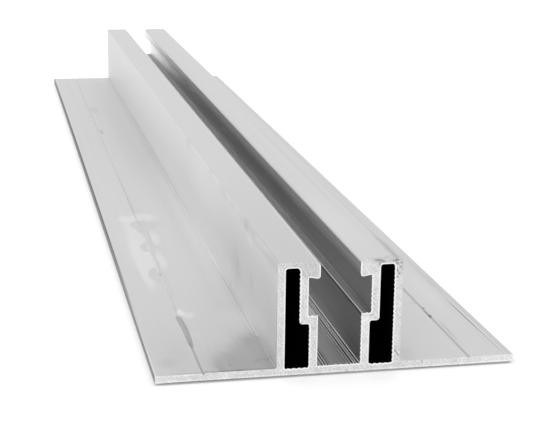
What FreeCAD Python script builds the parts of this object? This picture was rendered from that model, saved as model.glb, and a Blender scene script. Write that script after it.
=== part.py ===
# Solar mounting rail: one aluminium extrusion, a flat base with a T-slot tower along its middle.
# Millimetres. X runs across the rail, Y along it and Z up. The origin is the middle of the
# underside, halfway along the rail.

import FreeCAD
import Part
import math
import os

# The rail as a whole
rail_length = 500.0
rail_height = 31.7
base_width = 100.0
base_thickness = 2.25
tower_width = 34.5

# The bolt that slides in the slot, and the room beside it on each side
bolt_diameter = 10.0
bolt_head_width = 17.0           # across the flats of the hexagon
mouth_clearance = 0.5            # bolt shank to the noses of the lips
head_clearance = 0.2             # bolt head to the walls of the undercut
channel_clearance = 1.0          # bolt end to the walls of the lower channel

# Heights inside the slot
lip_root_thickness = 4.4         # lip where it joins the wall
lip_nose_thickness = 5.0         # lip at its nose, so the underside slopes down and grips
undercut_height = 10.7           # from the shoulders up to the root of the lips

# Walls round the two hollow chambers
tower_wall = 2.25                # outer walls
slot_wall = 2.35                 # between a chamber and the slot
shoulder_thickness = 2.3         # under the shoulders
roof_thickness = 1.7             # over the chambers
chamber_floor_thickness = 1.9

# Drill line: a V-groove along each flange that centres a drill
drill_line_inset = 13.0          # from the edge of the base
drill_line_depth = 0.45

# Fine grooves along the slot floor beside each wall
floor_groove_count = 5
floor_groove_inset = 0.55        # from the wall to the first groove
floor_groove_pitch = 0.8
floor_groove_width = 0.36
floor_groove_depth = 0.15

# Corner radii of the section
base_edge_radius = 0.3
foot_radius = 0.5
tower_corner_radius = 0.6
nose_top_radius = 1.3
nose_bottom_radius = 0.65
slot_corner_radius = 0.3
chamber_top_radius = 0.8
chamber_step_radius = 0.7
chamber_foot_radius = 0.5

# Widths and heights that follow from the sizes above
half_base = base_width / 2
half_tower = tower_width / 2
half_mouth = bolt_diameter / 2 + mouth_clearance
half_undercut = bolt_head_width / 2 + head_clearance
half_channel = bolt_diameter / 2 + channel_clearance
lip_root_height = rail_height - lip_root_thickness
lip_nose_height = rail_height - lip_nose_thickness
shoulder_height = lip_root_height - undercut_height


def notch(x, z, width, depth):
    """Corners of a V-groove cut down from height z, listed towards the middle of the rail."""
    return [
        (x + width / 2, z, 0.0),
        (x, z - depth, 0.0),
        (x - width / 2, z, 0.0),
    ]


def rounded_wire(corners):
    """Closed wire in the plane of the rail's first end, through (x, z, radius) corners."""
    end_y = -rail_length / 2
    points = [FreeCAD.Vector(x, end_y, z) for x, z, radius in corners]
    count = len(points)
    starts = []
    ends = []
    arcs = []
    for i in range(count):
        corner = points[i]
        radius = corners[i][2]
        before = points[i - 1] - corner
        after = points[(i + 1) % count] - corner
        half_angle = before.getAngle(after) / 2
        setback = radius / math.tan(half_angle)
        to_before = FreeCAD.Vector(before).normalize()
        to_after = FreeCAD.Vector(after).normalize()
        start = corner + to_before * setback
        end = corner + to_after * setback
        starts.append(start)
        ends.append(end)
        if radius > 0:
            bisector = (to_before + to_after).normalize()
            middle = corner + bisector * (radius / math.sin(half_angle) - radius)
            arcs.append(Part.Arc(start, middle, end).toShape())
        else:
            arcs.append(None)
    edges = []
    for i in range(count):
        if arcs[i]:
            edges.append(arcs[i])
        edges.append(Part.LineSegment(ends[i], starts[(i + 1) % count]).toShape())
    return Part.Wire(edges)


def mirrored(corners):
    """The same corners on the other side of the rail, in reverse order."""
    return [(-x, z, radius) for x, z, radius in reversed(corners)]


def outer_half():
    """Right half of the outer outline, from the underside up and over into the slot."""
    corners = [
        (half_base, 0.0, base_edge_radius),
        (half_base, base_thickness, base_edge_radius),
    ]
    drill_line_x = half_base - drill_line_inset
    corners += notch(drill_line_x, base_thickness, 2 * drill_line_depth, drill_line_depth)
    corners += [
        (half_tower, base_thickness, foot_radius),
        (half_tower, rail_height, tower_corner_radius),
        (half_mouth, rail_height, nose_top_radius),
        (half_mouth, lip_nose_height, nose_bottom_radius),
        (half_undercut, lip_root_height, slot_corner_radius),
        (half_undercut, shoulder_height, slot_corner_radius),
        (half_channel, shoulder_height, slot_corner_radius),
        (half_channel, base_thickness, slot_corner_radius),
    ]
    for i in range(floor_groove_count):
        groove_x = half_channel - floor_groove_inset - i * floor_groove_pitch
        corners += notch(groove_x, base_thickness, floor_groove_width, floor_groove_depth)
    return corners


def chamber():
    """Outline of the hollow chamber in the right wall: narrow beside the undercut, wide below."""
    outer_x = half_tower - tower_wall
    upper_x = half_undercut + slot_wall
    lower_x = half_channel + slot_wall
    top = rail_height - roof_thickness
    step = shoulder_height - shoulder_thickness
    return [
        (outer_x, chamber_floor_thickness, chamber_foot_radius),
        (outer_x, top, chamber_top_radius),
        (upper_x, top, chamber_top_radius),
        (upper_x, step, chamber_step_radius),
        (lower_x, step, chamber_step_radius),
        (lower_x, chamber_floor_thickness, chamber_foot_radius),
    ]


outline = rounded_wire(outer_half() + mirrored(outer_half()))
chambers = [rounded_wire(chamber()), rounded_wire(mirrored(chamber()))]
section = Part.makeFace([outline] + chambers, "Part::FaceMakerBullseye")
rail = section.extrude(FreeCAD.Vector(0, rail_length, 0))

os.makedirs("parts", exist_ok=True)
rail.exportStep("parts/rail.step")
print("rail: valid", rail.isValid(), "faces", len(rail.Faces), "solids", len(rail.Solids))
print("section area mm2", round(section.Area, 2), "volume mm3", round(rail.Volume, 1))
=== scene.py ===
import math

import bmesh
import bpy
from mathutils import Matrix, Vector


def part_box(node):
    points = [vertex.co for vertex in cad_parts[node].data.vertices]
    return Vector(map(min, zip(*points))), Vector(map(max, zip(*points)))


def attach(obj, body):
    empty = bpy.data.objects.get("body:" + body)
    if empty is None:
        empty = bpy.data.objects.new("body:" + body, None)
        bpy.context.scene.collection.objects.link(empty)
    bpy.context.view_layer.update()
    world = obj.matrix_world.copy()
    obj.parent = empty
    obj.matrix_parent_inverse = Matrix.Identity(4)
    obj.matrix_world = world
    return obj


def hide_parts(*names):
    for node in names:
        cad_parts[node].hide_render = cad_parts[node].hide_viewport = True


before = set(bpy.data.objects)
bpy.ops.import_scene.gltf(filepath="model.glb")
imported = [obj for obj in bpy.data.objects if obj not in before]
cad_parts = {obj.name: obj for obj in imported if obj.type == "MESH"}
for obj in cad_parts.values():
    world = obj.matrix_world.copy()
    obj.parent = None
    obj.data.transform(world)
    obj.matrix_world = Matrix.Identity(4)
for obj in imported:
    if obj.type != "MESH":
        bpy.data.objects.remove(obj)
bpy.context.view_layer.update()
railLow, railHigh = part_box("rail")
mm = 0.001
frontY = railLow.y
backY = railHigh.y
print("frame loaded, rail", [round(v / mm, 2) for v in railHigh - railLow], "mm")


# What stands where, in millimetres; the outer sizes come from the frame
railShape = {
    "baseWidth": (railHigh.x - railLow.x) / mm,
    "height": (railHigh.z - railLow.z) / mm,
    "baseThickness": 2.25,
    "towerWidth": 34.5,
    "mouthWidth": 11.0,
    "undercutWidth": 17.4,
    "channelWidth": 12.0,
    "lipRoot": 4.4,             # lip thickness at the wall
    "lipNose": 5.0,             # and at its nose
    "undercutHeight": 10.7,
    "towerWall": 2.25,
    "slotWall": 2.35,
    "shoulder": 2.3,
    "roof": 1.7,
    "chamberFloor": 1.9,
    "drillInset": 13.0,         # drill line from the edge of the base
    "drillDepth": 0.45,
    "floorGrooves": 5,
    "grooveInset": 0.55,
    "groovePitch": 0.8,
    "grooveWidth": 0.36,
    "grooveDepth": 0.15,
    "footBevel": (0.2, 0.09),   # across the foot of the slot wall
    "shoulderGrooves": 3,       # fine grooves under a bolt's head
    "shoulderInset": 0.75,
    "shoulderPitch": 0.7,
    "edgeRadius": 0.3,
    "footRadius": 0.5,
    "towerRadius": 0.6,
    "noseTopRadius": 1.5,
    "noseSkin": (0.23, 0.45),   # where the skin's finish ends on it, across and down, in radii
    "noseBottomRadius": 0.95,
    "slotRadius": 0.3,
    "chamberTopRadius": 0.8,
    "chamberStepRadius": 0.7,
    "chamberFootRadius": 0.5,
}

# How the ends were sawn: the edges of each opening are broken, with a fine wavy burr
sawnEnd = {
    "ringDepths": (0.15, 0.4, 0.8),     # rings of points behind each sawn face
    "outerBreak": 0.05,                 # how far each kind of edge is broken
    "openingBreak": 0.38,
    "bottomBreak": 0.08,
    "bottomTilt": -0.3,                 # walls that face down more than this are the underside
    "burrHeight": 0.22,                 # from the lows to the highs of its waves
    "burrPitch": 1.25,
    "burrSlant": 0.83,                  # the waves are longer across than up
    "burrEven": 0.75,                   # share of the height that stays the same
    "burrDrift": (0.71, 0.6),           # how fast the rest of it varies, and where it starts
}

# How finely the rail is meshed
railMesh = {
    "fineStep": 0.21,                   # spacing of the points round the slot and the chambers
    "coarseStep": 2.5,
    "arcSegments": 8,
    "sharpAngle": 25.0,
}
sameDepth = 0.01                        # points this close along the rail are level
endFacing = 0.99                        # a face that looks along the rail this much is sawn
slack = 0.05                            # how far a point may stand off its wall

# Order of the material slots of the rail
skin, sawn, rim, chamberInside, slotInside, edgeShade = range(6)


def notch(x, z, width, depth):
    return [(x + width / 2, z, 0.0), (x, z - depth, 0.0), (x - width / 2, z, 0.0)]


def mirrored(corners):
    return [(-x, z, radius) for x, z, radius in reversed(corners)]


def outerCorners(s):
    halfBase = s["baseWidth"] / 2
    halfTower = s["towerWidth"] / 2
    halfMouth = s["mouthWidth"] / 2
    halfUndercut = s["undercutWidth"] / 2
    halfChannel = s["channelWidth"] / 2
    lipRootZ = s["height"] - s["lipRoot"]
    shoulderZ = lipRootZ - s["undercutHeight"]
    corners = [
        (halfBase, 0.0, s["edgeRadius"]),
        (halfBase, s["baseThickness"], s["edgeRadius"]),
    ]
    corners += notch(halfBase - s["drillInset"], s["baseThickness"], 2 * s["drillDepth"], s["drillDepth"])
    corners += [
        (halfTower, s["baseThickness"], s["footRadius"]),
        (halfTower, s["height"], s["towerRadius"]),
        (halfMouth, s["height"], s["noseTopRadius"]),
        (halfMouth, s["height"] - s["lipNose"], s["noseBottomRadius"]),
        (halfUndercut, lipRootZ, s["slotRadius"]),
        (halfUndercut, shoulderZ, s["slotRadius"]),
    ]
    for i in range(s["shoulderGrooves"]):
        x = halfUndercut - s["shoulderInset"] - i * s["shoulderPitch"]
        corners += notch(x, shoulderZ, s["grooveWidth"], s["grooveDepth"])
    corners += [
        (halfChannel, shoulderZ, s["slotRadius"]),
        (halfChannel, s["baseThickness"] + s["footBevel"][1], 0.0),
        (halfChannel - s["footBevel"][0], s["baseThickness"], 0.0),
    ]
    for i in range(s["floorGrooves"]):
        x = halfChannel - s["grooveInset"] - i * s["groovePitch"]
        corners += notch(x, s["baseThickness"], s["grooveWidth"], s["grooveDepth"])
    return corners


def chamberCorners(s):
    outerX = s["towerWidth"] / 2 - s["towerWall"]
    upperX = s["undercutWidth"] / 2 + s["slotWall"]
    lowerX = s["channelWidth"] / 2 + s["slotWall"]
    topZ = s["height"] - s["roof"]
    stepZ = s["height"] - s["lipRoot"] - s["undercutHeight"] - s["shoulder"]
    return [
        (outerX, s["chamberFloor"], s["chamberFootRadius"]),
        (outerX, topZ, s["chamberTopRadius"]),
        (upperX, topZ, s["chamberTopRadius"]),
        (upperX, stepZ, s["chamberStepRadius"]),
        (lowerX, stepZ, s["chamberStepRadius"]),
        (lowerX, s["chamberFloor"], s["chamberFootRadius"]),
    ]


def drawLoop(bm, corners, segments):
    verts = [bm.verts.new((x * mm, frontY, z * mm)) for x, z, radius in corners]
    for i, vert in enumerate(verts):
        bm.edges.new((vert, verts[(i + 1) % len(verts)]))
    for radius in sorted({corner[2] for corner in corners if corner[2]}):
        rounded = [vert for vert, corner in zip(verts, corners) if corner[2] == radius]
        bmesh.ops.bevel(
            bm, geom=rounded, offset=radius * mm, offset_type="OFFSET", segments=segments,
            profile=0.5, affect="VERTICES", clamp_overlap=False, material=-1,
        )


# Which part of the section a point of a wall belongs to
def regionOf(point, s):
    x = abs(point.x) / mm
    z = point.z / mm
    stepZ = s["height"] - s["lipRoot"] - s["undercutHeight"] - s["shoulder"]
    innerX = (s["channelWidth"] if z < stepZ + slack else s["undercutWidth"]) / 2 + s["slotWall"]
    outerX = s["towerWidth"] / 2 - s["towerWall"]
    floorZ = s["chamberFloor"] - slack
    roofZ = s["height"] - s["roof"] + slack
    if innerX - slack < x < outerX + slack and floorZ < z < roofZ:
        return chamberInside
    noseAcross, noseDown = s["noseSkin"]
    noseX = s["mouthWidth"] / 2 + s["noseTopRadius"] * noseAcross
    besideLip = z > s["height"] - s["lipRoot"] - slack
    slotX = noseX if besideLip else s["undercutWidth"] / 2 + slack
    slotLow = s["baseThickness"] - s["grooveDepth"] - slack
    slotHigh = s["height"] - s["noseTopRadius"] * noseDown
    if x < slotX and slotLow < z < slotHigh:
        return slotInside
    # The sides of the base and its lower edge take a dark colour: painted shade
    if z < s["edgeRadius"] or x > s["baseWidth"] / 2 - slack:
        return edgeShade
    return skin


# True for the faces of both ends
def isSawn(face):
    return abs(face.normal.y) > endFacing


# Which way the walls round a point face
def wallDirection(vert):
    total = Vector((0, 0, 0))
    for face in vert.link_faces:
        if not isSawn(face):
            total += face.normal
    total.y = 0
    return total.normalized()


# The blade left its burr on the edges that it pushed towards, on the right and below
def burrAt(point, direction, cut):
    along = (point.x * cut["burrSlant"] + point.z) / mm
    wave = math.sin(2 * math.pi * along / cut["burrPitch"])
    pace, start = cut["burrDrift"]
    uneven = cut["burrEven"] + (1 - cut["burrEven"]) * math.sin(along * pace + start)
    pushed = max(0.0, -direction.x, direction.z)
    return cut["burrHeight"] * mm * wave * uneven * pushed / 2


# How far a point lies behind the nearer end
def depthOf(point):
    return min(point.y - frontY, backY - point.y) / mm


def breakEdges(bm, s, cut):
    reach = cut["ringDepths"][1]
    moves = []
    for vert in bm.verts:
        depth = depthOf(vert.co)
        if depth > reach - sameDepth:
            continue
        direction = wallDirection(vert)
        if regionOf(vert.co, s) in (chamberInside, slotInside):
            onFace = depth < sameDepth
            move = -direction * (cut["openingBreak"] * mm if onFace else 0.0)
            move += direction * burrAt(vert.co, direction, cut)
        else:
            kind = "bottomBreak" if direction.z < cut["bottomTilt"] else "outerBreak"
            move = -direction * cut[kind] * mm * (1 - depth / reach)
        moves.append((vert, move))
    for vert, move in moves:
        vert.co += move


# The section is drawn at the front end and drawn out to the back, with rings near both ends
def makeRail(s, cut, grid):
    bm = bmesh.new()
    drawLoop(bm, outerCorners(s) + mirrored(outerCorners(s)), grid["arcSegments"])
    drawLoop(bm, chamberCorners(s), grid["arcSegments"])
    drawLoop(bm, mirrored(chamberCorners(s)), grid["arcSegments"])
    for edge in bm.edges[:]:
        middle = (edge.verts[0].co + edge.verts[1].co) / 2
        fine = regionOf(middle, s) in (chamberInside, slotInside)
        cuts = int(edge.calc_length() / mm / grid["fineStep" if fine else "coarseStep"])
        if cuts:
            bmesh.ops.subdivide_edges(bm, edges=[edge], cuts=cuts)

    total = (backY - frontY) / mm
    depths = list(cut["ringDepths"])
    steps = [b - a for a, b in zip([0.0] + depths, depths)]
    steps = steps + [total - 2 * depths[-1]] + steps[::-1]
    ring = bm.edges[:]
    for length in steps:
        made = bmesh.ops.extrude_edge_only(bm, edges=ring)["geom"]
        newVerts = {item for item in made if isinstance(item, bmesh.types.BMVert)}
        ring = [item for item in made if isinstance(item, bmesh.types.BMEdge)]
        ring = [edge for edge in ring if set(edge.verts) <= newVerts]
        bmesh.ops.translate(bm, vec=(0, length * mm, 0), verts=list(newVerts))
    for y, normal in ((frontY, (0, -1, 0)), (backY, (0, 1, 0))):
        onEnd = {vert for vert in bm.verts if abs(vert.co.y - y) / mm < sameDepth}
        outline = [edge for edge in bm.edges if set(edge.verts) <= onEnd]
        bmesh.ops.triangle_fill(bm, use_beauty=True, use_dissolve=False, edges=outline, normal=normal)
    bmesh.ops.recalc_face_normals(bm, faces=bm.faces[:])

    for face in bm.faces:
        middle = face.calc_center_median()
        region = regionOf(middle, s)
        if isSawn(face):
            region = sawn
        elif region in (chamberInside, slotInside) and depthOf(middle) < cut["ringDepths"][0]:
            region = rim
        face.material_index = region
        face.smooth = region != sawn
    breakEdges(bm, s, cut)
    mesh = bpy.data.meshes.new("railProfile")
    bm.to_mesh(mesh)
    bm.free()
    mesh.set_sharp_from_angle(angle=math.radians(grid["sharpAngle"]))
    rail = bpy.data.objects.new("rail_profile", mesh)
    bpy.context.scene.collection.objects.link(rail)
    return rail


# Node helpers
def setInputs(tree, node, inputs):
    for key, value in (inputs or {}).items():
        if isinstance(value, bpy.types.NodeSocket):
            tree.links.new(value, node.inputs[key])
        else:
            node.inputs[key].default_value = value
    return node


def addNode(tree, kind, inputs=None, **settings):
    node = tree.nodes.new(kind)
    for key, value in settings.items():
        setattr(node, key, value)
    return setInputs(tree, node, inputs)


def useGroup(tree, group, inputs=None):
    return addNode(tree, "ShaderNodeGroup", inputs, node_tree=group)


def newGroup(name, inputs, outputs):
    group = bpy.data.node_groups.new(name, "ShaderNodeTree")
    for label, kind, value in inputs:
        socket = group.interface.new_socket(label, in_out="INPUT", socket_type="NodeSocket" + kind)
        socket.default_value = value
    for label in outputs:
        group.interface.new_socket(label, in_out="OUTPUT", socket_type="NodeSocketFloat")
    return group, addNode(group, "NodeGroupInput").outputs, addNode(group, "NodeGroupOutput")


def calculate(tree, operation, first, second=0.0, third=0.0):
    return addNode(tree, "ShaderNodeMath", {0: first, 1: second, 2: third}, operation=operation).outputs[0]


def stretched(tree, place, scale):
    return addNode(tree, "ShaderNodeVectorMath", {0: place, 1: scale}, operation="MULTIPLY").outputs[0]


# Patterns of the materials: repeats to a millimetre across, along and up, and detail
patterns = {
    "lines": ((3.4, 0.012, 3.4), 3.0),
    "bands": ((0.45, 0.003, 0.45), 2.0),
    "specks": ((2.4, 2.4, 2.4), 2.0),
    "patches": ((0.55, 0.55, 0.55), 2.0),
    "teeth": ((2.6, 1.0, 0.25), 2.0),
    "streaks": ((1.1, 0.12, 1.0), 3.0),
}
noiseMiddle = 0.5                       # what a noise is on average
toothTurn = 38.0                        # slant of the saw's tooth marks, in degrees


def noise(tree, place, scale, detail):
    place = stretched(tree, place, scale)
    return addNode(tree, "ShaderNodeTexNoise", {"Vector": place, "Scale": 1.0, "Detail": detail}).outputs


# A pattern that swings about zero
def swing(tree, place, label):
    pattern = noise(tree, place, *patterns[label])["Fac"]
    return calculate(tree, "SUBTRACT", pattern, noiseMiddle)


def objectPlace(tree):
    place = addNode(tree, "ShaderNodeTexCoord").outputs["Object"]
    return addNode(tree, "ShaderNodeVectorMath", {0: place, "Scale": 1 / mm}, operation="SCALE").outputs[0]


# Lines that the die leaves along the rail: fine ones, and broad faint bands
def makeDieLines():
    group, entry, leave = newGroup(
        "dieLines", [("Fine Lines", "Float", 1.0), ("Bands", "Float", 1.0)], ["Height", "Tone"],
    )
    place = objectPlace(group)
    lines = calculate(group, "MULTIPLY", swing(group, place, "lines"), entry["Fine Lines"])
    bands = calculate(group, "MULTIPLY", swing(group, place, "bands"), entry["Bands"])
    tone = calculate(group, "ADD", lines, bands)
    group.links.new(lines, leave.inputs["Height"])
    group.links.new(tone, leave.inputs["Tone"])
    return group


# A soft-edged oval spot, at half strength on its outline. It is a gradient texture, because
# longer ways overfill a material with many spots
def makeSoftSpot():
    group, entry, leave = newGroup(
        "softSpot",
        [("Place", "Vector", (0, 0, 0)), ("Centre", "Vector", (0, 0, 0)), ("Turn", "Vector", (0, 0, 0)),
         ("Size", "Vector", (1, 1, 1)), ("Softness", "Float", 0.3)],
        ["Mask"],
    )
    local = addNode(
        group, "ShaderNodeMapping",
        {"Vector": entry["Place"], "Location": entry["Centre"], "Rotation": entry["Turn"],
         "Scale": entry["Size"]},
        vector_type="TEXTURE",
    )
    nearness = addNode(
        group, "ShaderNodeTexGradient", {"Vector": local.outputs[0]}, gradient_type="SPHERICAL",
    )
    outer = calculate(group, "MULTIPLY_ADD", entry["Softness"], -0.5, 0.5)
    inner = calculate(group, "MULTIPLY_ADD", entry["Softness"], 0.5, 0.5)
    mask = addNode(
        group, "ShaderNodeMapRange",
        {"Value": nearness.outputs["Fac"], "From Min": outer, "From Max": inner},
        interpolation_type="SMOOTHSTEP",
    )
    group.links.new(mask.outputs["Result"], leave.inputs["Mask"])
    return group


# Grain of a sawn face: fine specks, cloudy patches and slanting tooth marks
def makeSawGrain():
    group, entry, leave = newGroup(
        "sawGrain", [("Specks", "Float", 1.0), ("Patches", "Float", 1.0), ("Teeth", "Float", 1.0)],
        ["Height", "Tone"],
    )
    place = objectPlace(group)
    turn = (0.0, math.radians(toothTurn), 0.0)
    slant = addNode(group, "ShaderNodeMapping", {"Vector": place, "Rotation": turn}).outputs[0]
    total = 0.0
    for label, where in (("Specks", place), ("Patches", place), ("Teeth", slant)):
        total = calculate(group, "MULTIPLY_ADD", swing(group, where, label.lower()), entry[label], total)
    group.links.new(total, leave.inputs["Height"])
    group.links.new(total, leave.inputs["Tone"])
    return group


def newMaterial(name):
    material = bpy.data.materials.new(name)
    material.use_nodes = True
    tree = material.node_tree
    tree.nodes.clear()
    return material, tree


# Marks on each face: two places on the face, two half sizes, a turn in degrees, softness, how
# much lighter or darker, and whether the outline is ragged. Lengths are in millimetres, and y
# counts from the front end
leftFlangeMarks = [
    # x, y, half width, half length, turn, softness, tone, ragged
    (-38.2, 115.5, 0.55, 1.6, 0, 0.6, 0.16, False),       # bright speck and dark speck
    (-37.2, 90.8, 0.36, 0.75, 0, 0.4, -0.7, False),
    (-37.22, 104.0, 0.3, 60.0, 0, 0.3, 0.42, False),      # painted light on the drill line, which hides its shading under the stain
    # Painted light and painted shade on the slopes of the drill line, which soften its shading
    (-37.22, 35.0, 0.26, 13.0, 0, 0.2, 0.27, False),
    (-36.93, 35.0, 0.2, 13.0, 0, 0.3, 0.17, False),
    (-36.5, 35.0, 0.2, 13.0, 0, 0.3, -0.08, False),
    (-37.22, 340.0, 0.26, 180.0, 0, 0.3, 0.32, False),
    (-36.4, 205.0, 0.6, 48.0, 0, 0.8, -0.04, False),      # painted shade beside the drill line, which blurs it further back
    (-36.5, 173.6, 0.9, 2.2, 0, 0.8, -0.04, False),
    (-34.5, 175.0, 0.8, 2.4, 0, 0.8, -0.035, False),
    (-39.8, 167.4, 2.2, 1.6, 0, 0.7, -0.03, False),
    (-49.8, 290.0, 0.42, 225.0, 0, 0.35, -0.85, False),   # darker along the edge, with a painted highlight on it near the end
    (-49.8, 22.0, 0.3, 42.0, 0, 0.4, 0.14, False),
    (-34.0, 150.0, 17.0, 120.0, 0, 0.6, 0.05, False),
    (-19.8, 7.2, 3.2, 0.9, 20, 0.6, -0.08, True),         # painted shade at the front of the foot, darkest in the corner
    (-36.0, 50.8, 0.9, 2.8, 0, 0.5, 0.20, True),
    (-34.2, 48.2, 1.8, 2.2, 0, 0.7, 0.12, True),
    (-27.1, 0.6, 1.0, 0.6, 0, 0.5, -0.16, True),
    (-28.8, 6.0, 0.3, 2.2, 0, 0.5, -0.08, True),
    (-30.0, 7.0, 1.4, 8.0, 0, 0.6, 0.04, False),
    (-35.6, 331.0, 0.7, 5.0, 0, 0.5, -0.22, False),
    (-34.6, 392.0, 2.2, 9.0, 0, 0.6, -0.08, True),
    (-35.0, 30.0, 1.6, 3.0, 0, 0.6, 0.04, True),
    (-21.5, 25.0, 3.0, 6.0, 0, 0.7, -0.04, True),
    (-30.0, 4.0, 6.0, 14.0, 0, 0.6, -0.07, True),
    (-42.0, 8.0, 9.0, 28.0, 0, 0.9, -0.06, True),
    (-45.5, 9.0, 2.5, 3.0, 0, 0.8, -0.08, True),
    (-30.5, 0.3, 13.5, 0.8, 0, 0.5, -0.16, False),        # dark line behind the sawn face
    (-37.1, 8.0, 0.5, 12.0, 0, 0.5, -0.05, False),
    (-34.0, 3.0, 2.2, 6.0, 0, 0.9, -0.035, False),
    (-41.5, 8.0, 4.0, 16.0, 0, 0.7, -0.028, False),
    (-36.2, 0.7, 0.6, 0.5, 0, 0.5, -0.12, True),
    (-29.0, 4.6, 0.35, 0.5, 0, 0.5, -0.14, True),
]
# Painted shade and painted light along the foot of the tower's left wall
footMarks = [
    # x, y, half width, half length, turn, softness, tone, ragged
    (-17.52, 58.0, 0.25, 34.0, 0, 0.4, -0.22, False),     # painted shade on the foot, which hides its highlight
    (-17.45, 300.0, 0.4, 230.0, 0, 0.3, -0.17, False),
    (-21.5, 42.0, 4.0, 9.0, 0, 0.7, 0.07, False),
    (-18.25, 46.0, 0.2, 22.0, 0, 0.5, 0.03, False),
    (-18.75, 44.0, 0.2, 22.0, 0, 0.5, -0.06, True),
    (-18.5, 14.0, 1.5, 20.0, 0, 0.6, 0.055, False),
    (-17.4, 8.0, 0.3, 22.0, 0, 0.5, -0.035, False),
    (-24.0, 125.0, 8.0, 95.0, 0, 0.8, 0.09, False),       # painted light beside the foot, which lifts its shade
    (-19.6, 118.0, 2.4, 92.0, 0, 0.8, 0.08, False),
    (-20.5, 360.0, 3.0, 140.0, 0, 0.8, 0.06, False),
]
towerFaceMarks = [
    # y, z, half length, half height, turn, softness, tone, ragged
    (61.0, 13.0, 8.0, 6.0, 0, 0.6, -0.06, True),          # drops and cloudy patches
    (58.0, 14.2, 2.2, 3.6, 0, 0.5, -0.05, True),
    (36.0, 15.2, 3.0, 2.6, 0, 0.5, -0.06, True),
    (71.0, 4.2, 4.0, 1.5, 0, 0.6, -0.05, True),
    (48.0, 17.0, 34.0, 9.0, 0, 0.8, -0.08, False),
    (170.0, 6.0, 110.0, 6.0, 0, 0.8, 0.06, False),
    (128.0, 22.0, 24.0, 7.0, 0, 0.8, 0.05, True),
    (39.0, 27.9, 3.5, 2.2, 0, 0.5, 0.07, True),
    (43.0, 28.8, 12.0, 0.28, 1.5, 0.5, -0.08, False),
    (42.0, 29.7, 12.0, 0.24, 1.5, 0.5, -0.07, False),
    (21.0, 30.6, 11.0, 0.7, -3, 0.5, 0.09, True),
    # Painted shade low on the wall by the foot, darkest at the front end
    (72.0, 3.0, 24.0, 1.4, 0, 0.6, -0.06, False),
    (9.0, 3.4, 17.0, 2.4, 0, 0.7, -0.10, False),
    (4.0, 9.0, 10.0, 7.0, 0, 0.7, -0.04, True),
    (6.0, 19.0, 16.0, 9.0, 0, 0.8, -0.07, False),
    (28.0, 24.2, 42.0, 4.5, 0, 0.8, -0.032, False),
    (30.0, 2.8, 9.0, 1.1, 0, 0.6, -0.055, False),
    (0.3, 14.0, 1.0, 12.5, 0, 0.5, -0.08, False),
    (62.0, 12.0, 62.0, 14.0, 0, 0.8, -0.018, False),
]
topMarks = [
    # x, y, half width, half length, turn, softness, tone, ragged
    (15.4, 8.0, 0.75, 15.0, 0, 0.6, -0.20, True),
    (15.7, 3.5, 0.5, 3.0, 0, 0.6, -0.06, True),
    (15.45, 3.4, 0.35, 0.9, 0, 0.6, -0.06, False),
    (15.2, 8.6, 0.4, 1.2, 0, 0.6, -0.05, False),
    (16.1, 0.6, 1.2, 0.7, 0, 0.6, -0.08, True),
    (15.7, 55.0, 0.3, 55.0, 0, 0.5, -0.09, False),
    (16.95, 40.0, 0.25, 60.0, 0, 0.5, -0.12, False),
    (10.0, 0.8, 2.6, 0.9, 0, 0.6, -0.09, True),
    (13.6, 1.0, 1.6, 1.2, 0, 0.6, -0.09, True),
    (13.2, 120.0, 0.5, 60.0, 0, 0.6, -0.05, True),
    (11.2, 160.0, 0.4, 80.0, 0, 0.6, 0.05, True),
    (-17.0, 163.0, 0.5, 6.0, 0, 0.6, -0.09, True),
    (-16.9, 112.0, 0.45, 5.0, 0, 0.6, -0.08, True),
    (-17.1, 84.0, 0.4, 7.0, 0, 0.6, -0.08, True),
    (-17.1, 69.0, 0.4, 3.0, 0, 0.6, -0.07, True),
    (-17.2, 45.0, 0.4, 4.0, 0, 0.6, -0.09, True),
    (-11.0, 0.0, 8.0, 75.0, 0, 0.9, -0.08, False),
    (-17.2, 12.0, 0.5, 42.0, 0, 0.5, -0.12, False),
    # Painted highlight along the edge of the left lip
    (-6.65, 24.0, 0.2, 44.0, 0, 0.5, 0.16, False),
    (8.5, 38.0, 3.5, 30.0, 0, 0.8, 0.05, False),
    (16.6, 8.0, 0.6, 9.0, 0, 0.7, -0.05, True),
]
rightFlangeMarks = [
    # x, y, half width, half length, turn, softness, tone, ragged
    (47.35, 24.0, 0.2, 26.0, 0.5, 0.4, -0.32, False),     # rub lines near the edge
    (47.3, 34.0, 0.22, 14.0, 0, 0.5, -0.30, False),
    (47.9, 22.0, 0.3, 26.0, 0, 0.5, 0.07, False),
    (47.9, 72.0, 0.7, 22.0, 0, 0.7, -0.10, True),
    (48.7, 30.0, 0.22, 50.0, 0, 0.5, -0.14, False),
    (49.5, 60.0, 0.25, 80.0, 0, 0.5, -0.10, False),
    (38.3, 21.0, 0.3, 9.0, 0, 0.5, -0.20, True),          # smear and specks by the drill line
    (37.6, 42.3, 0.35, 0.9, 0, 0.4, -0.40, False),
    (37.35, 35.0, 0.42, 1.3, 0, 0.4, -0.50, False),
    (37.2, 38.5, 0.25, 3.0, 0, 0.5, -0.25, False),
    (35.9, 47.0, 1.0, 1.6, 0, 0.6, -0.08, True),
    (34.4, 30.3, 0.5, 0.9, 0, 0.6, -0.07, True),
    (43.0, 60.0, 2.2, 22.0, 0, 0.8, 0.04, True),
    (38.0, 80.0, 13.0, 85.0, 0, 0.9, 0.05, False),
    (20.2, 4.0, 2.2, 9.0, 0, 0.7, -0.06, True),
]
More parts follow.
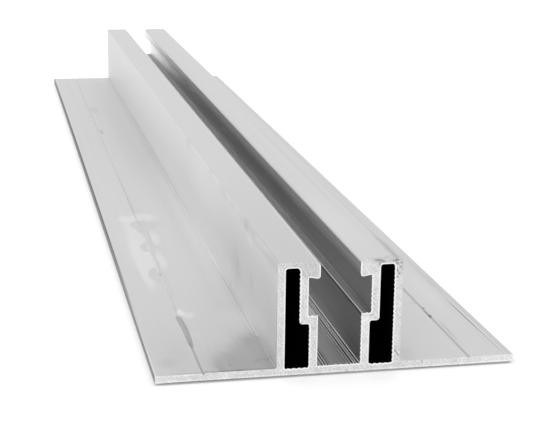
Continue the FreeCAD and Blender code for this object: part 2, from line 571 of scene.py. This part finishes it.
endMarks = [
    # x, z, half width, half height, turn, softness, tone, ragged
    (9.9, 31.3, 0.8, 0.32, 0, 0.5, -0.38, True),
    (11.3, 31.0, 0.8, 0.36, 25, 0.5, -0.40, True),
    (10.6, 30.2, 0.3, 0.6, 0, 0.5, -0.34, True),
    (15.2, 31.0, 0.9, 0.35, 0, 0.5, -0.40, True),
    (15.6, 30.1, 0.35, 0.5, -20, 0.5, -0.44, True),
    (16.4, 29.0, 0.3, 0.35, 30, 0.5, -0.42, True),
    (15.6, 28.3, 0.3, 0.5, -30, 0.5, -0.40, True),
    (16.2, 27.2, 0.35, 0.35, 20, 0.5, -0.36, True),
    (15.7, 26.3, 0.28, 0.4, 0, 0.5, -0.34, True),
    (16.3, 28.6, 0.9, 3.0, 0, 0.5, -0.06, False),
    (16.9, 29.6, 0.35, 2.2, 0, 0.5, -0.14, False),
    (15.6, 31.2, 0.5, 0.3, 0, 0.5, -0.12, True),
    (16.6, 30.2, 0.45, 0.3, 0, 0.5, -0.28, True),
    (9.0, 16.0, 0.75, 0.16, -50, 0.5, -0.22, False),      # scratches
    (16.2, 4.75, 1.4, 0.15, 55, 0.4, -0.55, False),
    (23.5, 1.75, 0.6, 0.22, 52, 0.5, -0.45, False),
    (23.0, 1.9, 0.8, 0.3, 0, 0.5, 0.08, False),
    (2.5, 0.1, 0.6, 0.17, 50, 0.4, -0.6, False),
    (3.2, 0.9, 0.8, 0.4, 0, 0.5, 0.10, False),
    (-9.0, 29.0, 4.6, 2.2, 0, 0.5, -0.13, False),
    (-12.0, 30.9, 5.2, 0.8, 0, 0.4, -0.06, False),
    (12.0, 31.1, 4.8, 0.7, 0, 0.4, -0.12, False),
    (7.3, 9.0, 1.4, 7.0, 0, 0.3, 0.08, False),
    (7.6, 14.6, 1.8, 1.0, 0, 0.4, 0.08, False),
    (-7.3, 7.0, 1.2, 5.0, 0, 0.4, 0.05, False),
    (0.0, 1.1, 120.0, 1.3, 0, 0.2, 0.045, False),
    (46.0, 1.2, 9.0, 1.4, 0, 0.6, 0.08, False),
    # Painted highlight along the bottom of the sawn face, and painted shade at its bottom edge where the
    # rail stands on the floor
    (0.0, 0.36, 120.0, 0.2, 0, 0.4, 0.20, False),
    (-34.0, 0.0, 18.0, 0.16, 0, 0.3, -0.9, False),
    (-8.0, 0.0, 12.0, 0.14, 0, 0.3, -0.35, False),
    (-44.0, 2.0, 20.0, 0.2, 0, 0.5, 0.08, False),
    (-35.0, 1.8, 2.4, 0.12, 0, 0.5, -0.16, True),
    (-44.0, 1.2, 3.0, 0.25, 0, 0.6, -0.08, True),
]

# The blots of a list run together into one mask. First a water stain on the drill line
stainBlots = [
    # x, y, half width, half length
    (-36.4, 151.5, 2.4, 7.0),
    (-38.3, 152.8, 1.8, 4.8),
    (-33.0, 152.4, 2.6, 4.8),
    (-30.0, 153.8, 2.5, 2.0),
    (-36.7, 144.5, 1.6, 4.0),
    (-35.7, 139.0, 1.0, 5.0),
    (-35.6, 132.5, 0.95, 6.0),
    (-38.0, 122.4, 1.9, 5.5),
    (-36.6, 123.0, 1.4, 7.0),
    (-34.6, 122.6, 1.6, 2.0),
    (-36.9, 113.5, 0.8, 6.0),
    (-36.6, 104.0, 0.85, 7.0),
    (-39.0, 90.3, 2.0, 6.6),
    (-37.5, 88.5, 1.5, 8.0),
    (-36.3, 80.0, 1.2, 8.0),
    (-36.6, 71.0, 1.0, 9.0),
]
# The paler metal round the stain
paleBlots = [
    (-40.2, 134.0, 4.0, 33.0),
    (-40.0, 107.0, 3.8, 18.0),
    (-41.6, 86.0, 1.6, 13.0),
    (-40.8, 162.0, 2.6, 3.6),
    (-33.5, 134.5, 1.9, 8.0),
    (-34.6, 105.0, 1.5, 8.5),
    (-33.4, 164.0, 4.4, 5.5),
]
# Painted shade by the foot at the front end, with streaked edges
frontFootShadeBlots = [
    (-25.0, 3.0, 8.0, 16.5),
    (-20.0, 9.0, 5.0, 17.5),
    (-28.5, 0.0, 4.0, 10.0),
    (-18.6, 8.0, 2.4, 17.0),
]
# Dark filling in the drill line
fillingBlots = [
    (-37.35, 45.6, 0.8, 2.3),
    (-37.15, 42.0, 0.85, 3.0),
    (-36.95, 38.5, 0.85, 3.0),
    (-36.8, 34.5, 0.82, 3.0),
    (-36.85, 30.5, 0.8, 3.0),
    (-36.95, 26.5, 0.76, 3.0),
    (-37.1, 22.8, 0.62, 2.6),
]
# Sums of the blots between which a mask fades in, how deep its blots reach, and its tone
blotLooks = {
    "stain": {"low": 0.42, "high": 0.58, "depth": 6.0, "tone": -0.035},
    "pale": {"low": 0.1, "high": 1.25, "depth": 6.0, "tone": 0.125},
    "filling": {"low": 0.4, "high": 0.6, "depth": 6.0, "tone": -0.31},
    # painted shade by the foot at the front end
    "frontFootShade": {"low": 0.1, "high": 1.3, "depth": 1.4, "tone": -0.26},
}
blotSoftness = 0.85
markDepths = {"x": 6.0, "y": 2.0, "z": 6.0}     # how deep marks reach, by the axis of their face
endless = 8000.0                                # length of a line that runs past both ends


# Where a mark lies on the face that stands at this level of this axis
def markPlace(flat, first, second, level):
    if flat == "z":
        return (first, second + frontY / mm, level)
    if flat == "x":
        return (level, first + frontY / mm, second)
    return (first, level, second)


def addMarks(tree, tone, plain, ragged, marks, flat, level):
    axis = "xyz".index(flat)
    for first, second, halfFirst, halfSecond, turn, softness, change, isRagged in marks:
        size = [2 * halfFirst, 2 * halfSecond]
        size.insert(axis, markDepths[flat])
        rotation = [0.0, 0.0, 0.0]
        rotation[axis] = math.radians(turn)
        spot = useGroup(
            tree, softSpot,
            {"Place": ragged if isRagged else plain, "Centre": markPlace(flat, first, second, level),
             "Turn": rotation, "Size": size, "Softness": softness},
        )
        tone = calculate(tree, "MULTIPLY_ADD", spot.outputs["Mask"], change, tone)
    return tone


def blotMask(tree, place, blots, level, look):
    total = 0.0
    for x, y, halfWidth, halfLength in blots:
        spot = useGroup(
            tree, softSpot,
            {"Place": place, "Centre": markPlace("z", x, y, level),
             "Size": (2 * halfWidth, 2 * halfLength, look["depth"]), "Softness": blotSoftness},
        )
        total = calculate(tree, "ADD", spot.outputs["Mask"], total)
    mask = addNode(
        tree, "ShaderNodeMapRange", {"Value": total, "From Min": look["low"], "From Max": look["high"]},
        interpolation_type="SMOOTHSTEP",
    )
    return mask.outputs["Result"]


def shifted(tree, place, shift):
    return addNode(tree, "ShaderNodeVectorMath", {0: place, 1: shift}, operation="ADD").outputs[0]


# Ragged outlines wander by an amount in millimetres, and farther along the rail than across
raggedness = {
    "stretch": 4,
    "detail": 3.0,
}


def raggedPlace(tree, plain, amount, fineness):
    stretch = raggedness["stretch"]
    scale = (fineness, fineness / stretch, fineness)
    wander = noise(tree, plain, scale, raggedness["detail"])["Color"]
    middle = (noiseMiddle, noiseMiddle, noiseMiddle)
    wander = addNode(tree, "ShaderNodeVectorMath", {0: wander, 1: middle}, operation="SUBTRACT").outputs[0]
    return shifted(tree, plain, stretched(tree, wander, (2 * amount, 2 * stretch * amount, 2 * amount)))


# The painted shade's edges are drawn out slantwise
shadeStreaking = {
    "turn": -27.0,
    "shift": (6.0, 22.0),               # across and along the rail
}


def streakedShadePlace(tree, plain):
    turn = (0.0, 0.0, math.radians(shadeStreaking["turn"]))
    slant = addNode(tree, "ShaderNodeMapping", {"Vector": plain, "Rotation": turn})
    streaks = swing(tree, slant.outputs[0], "streaks")
    across, along = [calculate(tree, "MULTIPLY", streaks, reach) for reach in shadeStreaking["shift"]]
    return shifted(tree, plain, addNode(tree, "ShaderNodeCombineXYZ", {0: across, 1: along}).outputs[0])


bumpDistance = 0.0002                   # metres


def finishMaterial(tree, look, tone, height):
    shade = addNode(tree, "ShaderNodeVectorMath", {0: look["colour"], "Scale": tone}, operation="SCALE")
    bump = addNode(
        tree, "ShaderNodeBump", {"Height": height, "Strength": look["bump"], "Distance": bumpDistance},
    )
    shader = addNode(
        tree, "ShaderNodeBsdfPrincipled",
        {"Metallic": look["metallic"], "Roughness": look["roughness"], "Base Color": shade.outputs[0],
         "Normal": bump.outputs["Normal"]},
    )
    out = addNode(tree, "ShaderNodeOutputMaterial")
    tree.links.new(shader.outputs[0], out.inputs["Surface"])


# The tone and height that die lines give
def useDieLines(tree, look):
    lines = useGroup(tree, dieLines, {"Fine Lines": look["fineLines"], "Bands": look["bands"]})
    return calculate(tree, "ADD", lines.outputs["Tone"], 1.0), lines.outputs["Height"]


skinFinish = {
    "colour": (0.64, 0.64, 0.64),
    "metallic": 0.72,
    "roughness": 0.5,
    "bump": 0.15,
    "fineLines": 0.06,
    "bands": 0.05,
    "wander": 0.55,                     # how far and how finely ragged outlines wander
    "wanderFineness": 0.5,
}

# Fine lines that run the whole length
skinLines = [
    # x, z, half width, half height, softness, tone
    (-5.95, 31.4, 0.3, 0.35, 0.5, 0.22),                  # painted highlight on the rounding of the left lip
    (-37.22, 2.0, 0.26, 0.6, 0.3, 0.06),                  # painted light and painted shade on the slopes of the drill line, which make it faint
    (-36.78, 2.0, 0.24, 0.6, 0.3, -0.07),
]


def addLines(tree, tone, plain, lines):
    for x, z, halfWidth, halfHeight, softness, change in lines:
        line = useGroup(
            tree, softSpot,
            {"Place": plain, "Centre": (x, 0.0, z), "Softness": softness,
             "Size": (2 * halfWidth, endless, 2 * halfHeight)},
        )
        tone = calculate(tree, "MULTIPLY_ADD", line.outputs["Mask"], change, tone)
    return tone


def makeSkin(look, s):
    material, tree = newMaterial("millAluminium")
    tone, height = useDieLines(tree, look)
    plain = objectPlace(tree)
    ragged = raggedPlace(tree, plain, look["wander"], look["wanderFineness"])
    flangeTop = s["baseThickness"]
    tone = addLines(tree, tone, plain, skinLines)
    masks = {}
    for label, place, blots in (
        ("stain", ragged, stainBlots),
        ("pale", ragged, paleBlots),
        ("filling", plain, fillingBlots),
        # painted shade by the foot, streaked slantwise
        ("frontFootShade", streakedShadePlace(tree, plain), frontFootShadeBlots),
    ):
        masks[label] = blotMask(tree, place, blots, flangeTop, blotLooks[label])
    unstained = calculate(tree, "SUBTRACT", 1.0, masks["stain"])
    masks["pale"] = calculate(tree, "MULTIPLY", masks["pale"], unstained)
    for label in ("pale", "stain", "filling", "frontFootShade"):
        tone = calculate(tree, "MULTIPLY_ADD", masks[label], blotLooks[label]["tone"], tone)
    for marks, flat, level in (
        (leftFlangeMarks, "z", flangeTop),
        (footMarks, "z", flangeTop),
        (towerFaceMarks, "x", -s["towerWidth"] / 2),
        (topMarks, "z", s["height"]),
        (rightFlangeMarks, "z", flangeTop),
    ):
        tone = addMarks(tree, tone, plain, ragged, marks, flat, level)
    finishMaterial(tree, look, tone, height)
    return material


sawnFinish = {
    "colour": (0.69, 0.69, 0.69),
    "metallic": 1.0,
    "roughness": 0.5,
    "bump": 0.5,
    "specks": 0.95,
    "patches": 0.35,
    "teeth": 0.35,
    "wander": 0.3,
    "wanderFineness": 1.5,
}


def makeSawn(look):
    material, tree = newMaterial("sawnFace")
    grain = useGroup(
        tree, sawGrain, {"Specks": look["specks"], "Patches": look["patches"], "Teeth": look["teeth"]},
    )
    plain = objectPlace(tree)
    ragged = raggedPlace(tree, plain, look["wander"], look["wanderFineness"])
    tone = calculate(tree, "ADD", grain.outputs["Tone"], 1.0)
    tone = addMarks(tree, tone, plain, ragged, endMarks, "y", frontY / mm)
    finishMaterial(tree, look, tone, grain.outputs["Height"])
    return material


# The slot stays dull; painted highlights and painted shade draw the lines of its floor, walls and
# shoulders, where lighter lines are less metallic
slotFinish = {
    "colour": (0.62, 0.62, 0.62),
    "metallic": (1.45, -1.5),           # most it would be, and its change with a line's tone
    "roughness": 0.36,
    "bump": 0.3,
    "fineLines": 0.5,
    "bands": 0.2,
}
slotLines = [
    # x, z, half width, half height, softness, tone
    (5.92, 2.3, 0.16, 0.14, 0.3, 0.65),                   # painted highlight at the foot of the wall
    (5.53, 2.2, 0.2, 0.4, 0.3, -0.9),                     # floor: painted highlights and painted shade on its grooves
    (5.12, 2.25, 0.2, 0.4, 0.3, 0.7),
    (4.44, 2.2, 0.19, 0.4, 0.3, 0.85),
    (3.99, 2.2, 0.18, 0.4, 0.3, -0.75),
    (3.52, 2.2, 0.19, 0.4, 0.3, 0.6),
    (3.12, 2.2, 0.14, 0.4, 0.3, -0.4),
    (2.74, 2.2, 0.18, 0.4, 0.3, 0.5),
    (2.3, 2.2, 0.12, 0.4, 0.3, -0.1),
    (-2.8, 2.2, 0.17, 0.4, 0.3, -0.55),
    (-3.2, 2.2, 0.15, 0.4, 0.3, 0.6),
    (-3.6, 2.2, 0.17, 0.4, 0.3, -0.8),
    (-4.0, 2.2, 0.15, 0.4, 0.3, 0.7),
    (-4.45, 2.2, 0.17, 0.4, 0.3, -0.6),
    (-4.9, 2.2, 0.15, 0.4, 0.3, 0.4),
    (6.0, 10.0, 0.3, 6.3, 0.35, -0.22),                   # walls of the channel: painted shade
    (6.0, 3.3, 0.3, 0.9, 0.5, -0.2),
    (7.45, 16.6, 1.45, 0.3, 0.15, -0.6),                  # shoulders: painted shade, with a painted highlight on the edge and painted shade under it
    (-7.45, 16.6, 1.45, 0.3, 0.15, 0.15),
    (-6.1, 16.5, 0.16, 0.2, 0.3, -0.5),
    (6.35, 16.6, 0.19, 0.2, 0.3, 1.1),
    (7.4, 16.5, 0.25, 0.3, 0.4, 0.06),
    (7.9, 16.5, 0.12, 0.3, 0.4, -0.08),
    (5.95, 16.15, 0.3, 0.26, 0.3, -0.7),
    (8.7, 22.0, 0.5, 5.4, 0.2, 0.26),                     # walls of the undercut: painted light
    (5.6, 29.6, 0.6, 1.0, 0.5, 0.34),                     # noses of the lips: painted light
    (5.6, 27.8, 0.6, 1.0, 0.5, 0.15),
]
slotWallMarks = [
    # y, z, half length, half height, turn, softness, tone, ragged
    # Painted shade low on the wall near the front end, and painted light further in
    (4.0, 4.0, 15.0, 6.0, 0, 0.9, -0.34, False),
    (45.0, 3.6, 30.0, 1.6, 0, 0.8, 0.12, False),
]
slotShoulderMarks = [
    # x, y, half width, half length, turn, softness, tone, ragged
    # Painted shade on the shoulder near the front end
    (8.2, 2.0, 0.8, 14.0, 0, 0.7, -0.14, False),
]
slotFloorMarks = [
    # x, y, half width, half length, turn, softness, tone, ragged
    # Painted light on the floor of the slot
    (0.0, 12.0, 6.0, 28.0, 0, 0.8, 0.05, False),
    (0.0, 88.0, 8.0, 52.0, 0, 0.8, 0.45, False),
]


def makeSlot(look, s):
    material, tree = newMaterial("slotAluminium")
    tone, height = useDieLines(tree, look)
    plain = objectPlace(tree)
    bright = addLines(tree, 0.0, plain, slotLines)
    most, change = look["metallic"]
    metallic = addNode(
        tree, "ShaderNodeMath", {0: bright, 1: change, 2: most}, operation="MULTIPLY_ADD", use_clamp=True,
    ).outputs[0]
    tone = calculate(tree, "ADD", tone, bright)
    for marks, flat, level in (
        (slotWallMarks, "x", s["channelWidth"] / 2),
        (slotShoulderMarks, "z", s["height"] - s["lipRoot"] - s["undercutHeight"]),
        (slotFloorMarks, "z", s["baseThickness"]),
    ):
        tone = addMarks(tree, tone, plain, plain, marks, flat, level)
    finishMaterial(tree, dict(look, metallic=metallic), tone, height)
    return material


# The parts of the rail without marks
plainFinishes = {
    # The burred rims round the openings are painted near white: a painted highlight for their glint
    "burrGlint": {
        "colour": (0.98, 0.98, 0.98), "metallic": 0.4, "roughness": 0.35, "bump": 0.1,
        "fineLines": 0.0, "bands": 0.0,
    },
    # The walls of the chambers are painted near black: painted shade in the hollows
    "chamberWall": {
        "colour": (0.004, 0.004, 0.004), "metallic": 1.0, "roughness": 0.8, "bump": 0.2,
        "fineLines": 0.3, "bands": 0.0,
    },
    # The sides of the base and its lower edge, painted dark: painted shade along the edges
    "edgeShade": {
        "colour": (0.18, 0.18, 0.18), "metallic": 1.0, "roughness": 0.5, "bump": 0.2,
        "fineLines": 0.2, "bands": 0.2,
    },
}


def makePlain(name):
    look = plainFinishes[name]
    material, tree = newMaterial(name)
    tone, height = useDieLines(tree, look)
    finishMaterial(tree, look, tone, height)
    return material


dieLines = makeDieLines()
softSpot = makeSoftSpot()
sawGrain = makeSawGrain()
rail = makeRail(railShape, sawnEnd, railMesh)
for material in (
    makeSkin(skinFinish, railShape),
    makeSawn(sawnFinish),
    makePlain("burrGlint"),
    makePlain("chamberWall"),
    makeSlot(slotFinish, railShape),
    makePlain("edgeShade"),
):
    rail.data.materials.append(material)
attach(rail, "root")
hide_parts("rail")
print("rail made,", len(rail.data.polygons), "faces")


# Floor and light, in metres
white = (1.0, 1.0, 1.0, 1.0)
studio = {
    "floorSize": 6.0,
    "floorDrop": 0.55,                  # millimetres; a thin gap shows under the front edge
    "floorDiffuse": 0.72,
    "floorGlow": 0.38,
    "gapGlow": 0.23,                    # the glow is weaker under the rail: a painted shadow in the gap
    "worldLight": 1.0,
    "lampPlace": (-1.5, 0.3, 0.4),      # a wide soft lamp low on the left
    "lampSize": (1.6, 0.8),
    "lampPower": 4.8,
}


# The floor glows where it is seen, so that it is white and still takes the rail's shadow; under the rail
# it glows less, a painted shadow in the gap
def makeFloorMaterial(look):
    material, tree = newMaterial("paleFloor")
    path = addNode(tree, "ShaderNodeLightPath")
    seen = calculate(tree, "MAXIMUM", path.outputs["Is Camera Ray"], path.outputs["Is Glossy Ray"])
    seen = calculate(tree, "MAXIMUM", seen, path.outputs["Is Transmission Ray"])
    place = addNode(tree, "ShaderNodeTexCoord").outputs["Object"]
    axes = addNode(tree, "ShaderNodeSeparateXYZ", {0: place}).outputs
    besideX = calculate(tree, "GREATER_THAN", calculate(tree, "ABSOLUTE", axes["X"]), railHigh.x)
    besideY = calculate(tree, "GREATER_THAN", calculate(tree, "ABSOLUTE", axes["Y"]), railHigh.y)
    beside = calculate(tree, "MAXIMUM", besideX, besideY)
    glow = calculate(tree, "MULTIPLY_ADD", beside, look["floorGlow"] - look["gapGlow"], look["gapGlow"])
    glow = calculate(tree, "MULTIPLY", seen, glow)
    grey = look["floorDiffuse"]
    diffuse = addNode(tree, "ShaderNodeBsdfDiffuse", {"Color": (grey, grey, grey, 1.0)})
    light = addNode(tree, "ShaderNodeEmission", {"Color": white, "Strength": glow})
    both = addNode(tree, "ShaderNodeAddShader", {0: diffuse.outputs[0], 1: light.outputs[0]})
    out = addNode(tree, "ShaderNodeOutputMaterial")
    tree.links.new(both.outputs[0], out.inputs["Surface"])
    return material


def makeFloor(look):
    bm = bmesh.new()
    bmesh.ops.create_grid(bm, x_segments=1, y_segments=1, size=look["floorSize"] / 2)
    bmesh.ops.translate(bm, vec=(0, 0, -look["floorDrop"] * mm), verts=bm.verts[:])
    mesh = bpy.data.meshes.new("floor")
    bm.to_mesh(mesh)
    bm.free()
    floor = bpy.data.objects.new("floor", mesh)
    bpy.context.scene.collection.objects.link(floor)
    mesh.materials.append(makeFloorMaterial(look))


def makeWorld(look):
    world = bpy.data.worlds.new("whiteTent")
    bpy.context.scene.world = world
    world.use_nodes = True
    tree = world.node_tree
    tree.nodes.clear()
    back = addNode(tree, "ShaderNodeBackground", {"Color": white, "Strength": look["worldLight"]})
    out = addNode(tree, "ShaderNodeOutputWorld")
    tree.links.new(back.outputs[0], out.inputs["Surface"])


def makeLamp(look):
    data = bpy.data.lights.new("softLamp", "AREA")
    data.shape = "RECTANGLE"
    data.size, data.size_y = look["lampSize"]
    data.energy = look["lampPower"]
    lamp = bpy.data.objects.new("softLamp", data)
    bpy.context.scene.collection.objects.link(lamp)
    lamp.location = look["lampPlace"]
    lamp.rotation_euler = (-lamp.location).to_track_quat("-Z", "Y").to_euler()


makeFloor(studio)
makeWorld(studio)
makeLamp(studio)
print("stage and light made")


# The camera stands to the left of the rail's front end and looks along it
cameraView = {
    "place": (-90.3, -339.9, 135.6),    # millimetres from the middle of the front bottom edge
    "turn": (75.279, -0.761, -11.869),
    "lens": 89.70,
    "sensor": 36.0,
    "clip": (0.01, 50.0),               # metres
}


def makeCamera(look):
    data = bpy.data.cameras.new("camera")
    data.sensor_width = look["sensor"]
    data.lens = look["lens"]
    data.clip_start, data.clip_end = look["clip"]
    camera = bpy.data.objects.new("camera", data)
    bpy.context.scene.collection.objects.link(camera)
    x, y, z = look["place"]
    camera.location = (x * mm, frontY + y * mm, z * mm)
    camera.rotation_euler = [math.radians(angle) for angle in look["turn"]]
    bpy.context.scene.camera = camera


makeCamera(cameraView)
bpy.context.scene.view_settings.view_transform = "Standard"
print("camera placed")
